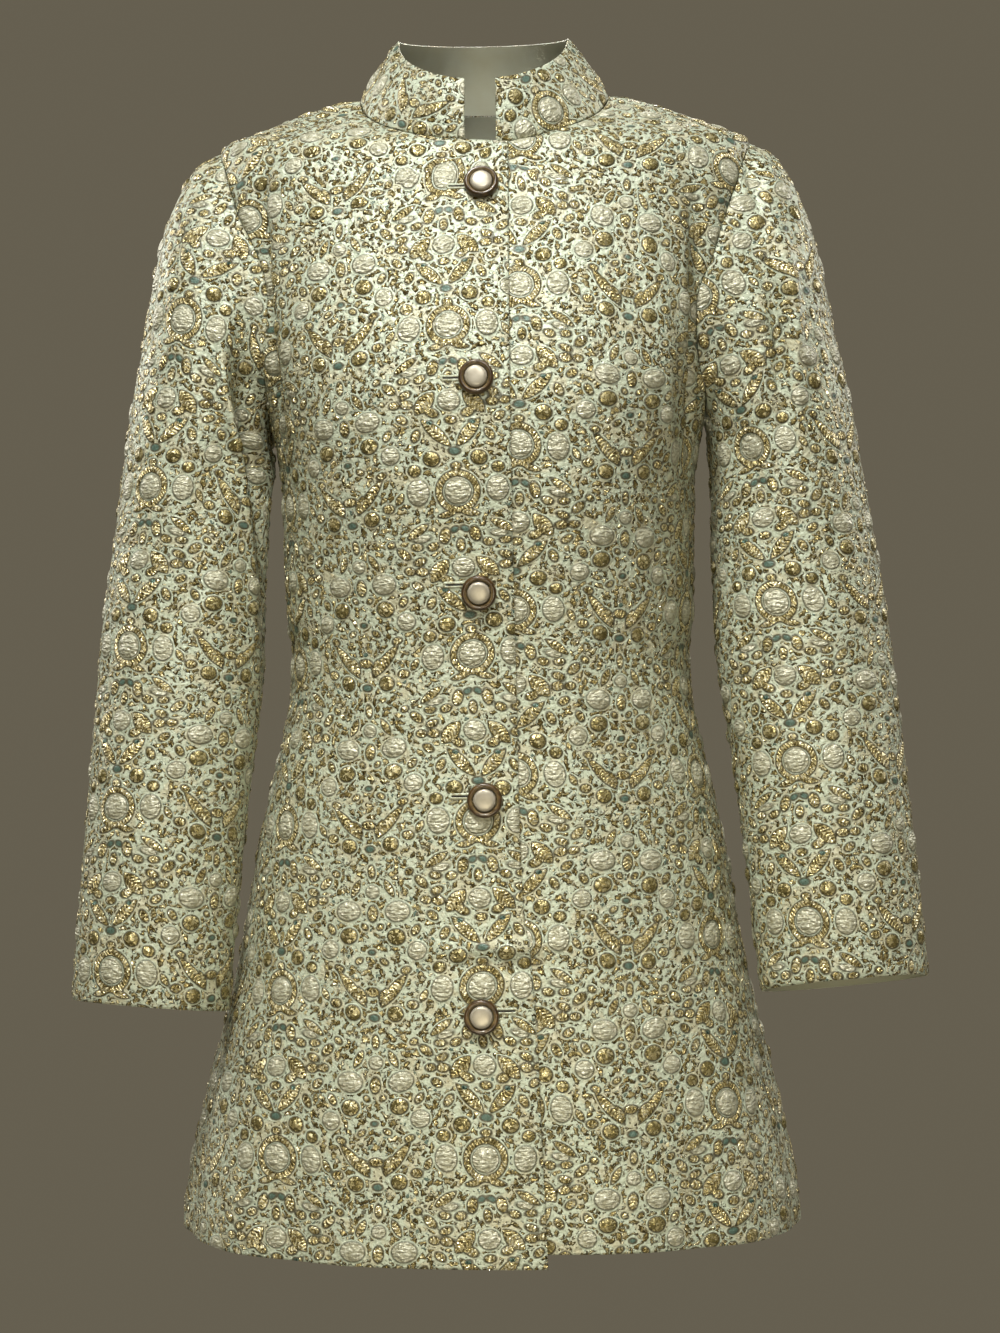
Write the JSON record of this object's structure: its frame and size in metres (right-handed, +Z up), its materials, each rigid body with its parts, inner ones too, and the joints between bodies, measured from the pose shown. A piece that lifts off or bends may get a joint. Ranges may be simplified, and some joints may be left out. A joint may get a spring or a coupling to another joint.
{
  "type": "brocade jacket",
  "caption": "Worn-form brocade jacket, hip length and flared, with a stand collar, long set-in sleeves and a lapped front fastened by pearl-capped buttons.",
  "frame": {"origin": "midway between the high points of the two shoulders, where the wearer's shoulders hold the jacket up", "axes": "+Z up the worn jacket, +Y towards its back, +X towards the wearer's left; the buttoned front faces -Y"},
  "size_m": [0.6044, 0.3006, 0.8622],
  "materials": {
    "brocade": "blistered metallic brocade, mint ground with gold and pearl-silver figures",
    "button_rim": "dark brown polished rim with a bronze glint",
    "button_pearl": "satin pearl"
  },
  "bodies": {
    "root": {"front_right": "brocade", "front_left": "brocade", "back": "brocade", "sleeve_right": "brocade", "sleeve_left": "brocade", "collar": "brocade", "button_rim_1": "button_rim", "button_rim_2": "button_rim", "button_rim_3": "button_rim", "button_rim_4": "button_rim", "button_rim_5": "button_rim", "button_pearl_1": "button_pearl", "button_pearl_2": "button_pearl", "button_pearl_3": "button_pearl", "button_pearl_4": "button_pearl", "button_pearl_5": "button_pearl"}
  },
  "joints": []
}
